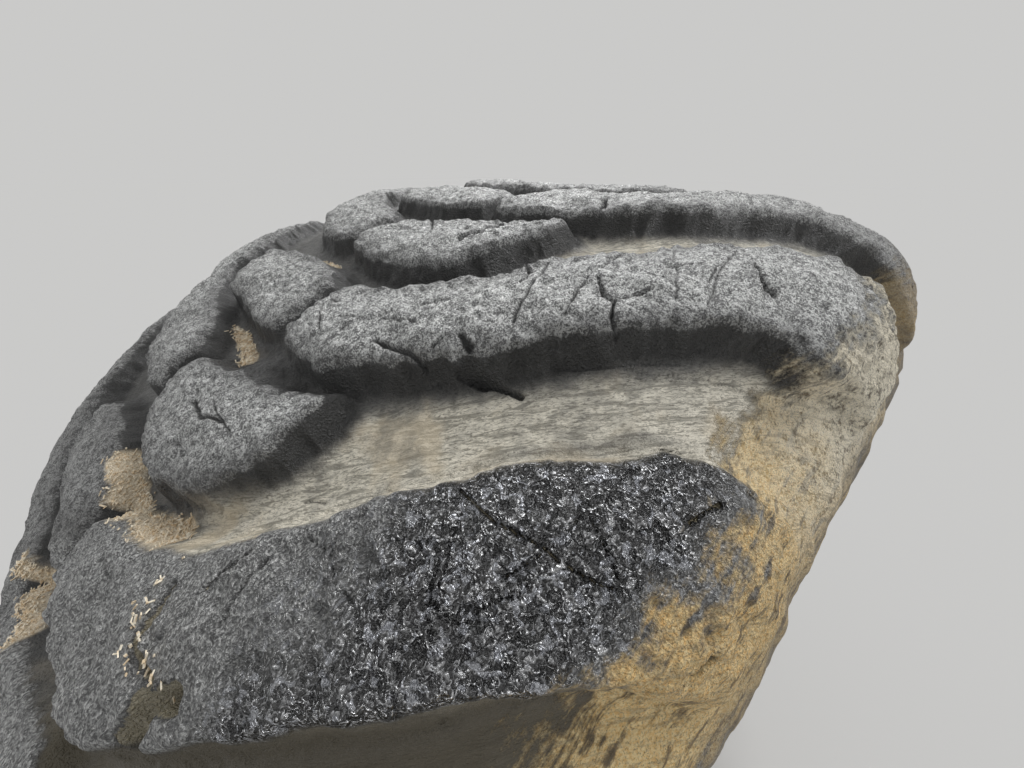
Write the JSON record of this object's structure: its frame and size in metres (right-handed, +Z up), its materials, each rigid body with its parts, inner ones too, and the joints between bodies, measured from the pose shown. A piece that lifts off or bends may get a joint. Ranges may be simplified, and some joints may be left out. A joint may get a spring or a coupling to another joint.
{
  "type": "forestry forwarder wheel",
  "caption": "Forestry vehicle wheel: lugged wide tyre on a drop-centre rim, bolted to a planetary hub that turns on a fixed flanged stub axle.",
  "frame": {"origin": "centre of the fixed stub axle's mounting face, on the wheel's axis", "axes": "+Y along the axle, outboard away from the vehicle; +Z up; +X to the vehicle's front"},
  "size_m": [1.3418, 0.742, 1.3418],
  "materials": {
    "tyre_rubber": "worn, dusty",
    "rim_paint": "satin, muddy",
    "hub_paint": "satin, oily",
    "machined_steel": "machined, oiled",
    "plated_steel": "zinc plated, dull",
    "valve_rubber": "matt"
  },
  "bodies": {
    "stub_axle": {"stub_axle": "machined_steel"},
    "wheel": {"hub_housing": "hub_paint", "gear_case": "hub_paint", "hub_cover": "hub_paint", "cover_bolts": "plated_steel", "oil_plugs": "plated_steel", "wheel_nuts": "plated_steel", "wheel_disc": "rim_paint", "rim": "rim_paint", "tyre": "tyre_rubber", "valve_stem": "valve_rubber"}
  },
  "joints": [
    {"name": "wheel_spin", "type": "hinge", "parent": "stub_axle", "child": "wheel", "pos_m": [0, 0.15, 0], "axis": [0, 1, 0], "continuous": true}
  ]
}
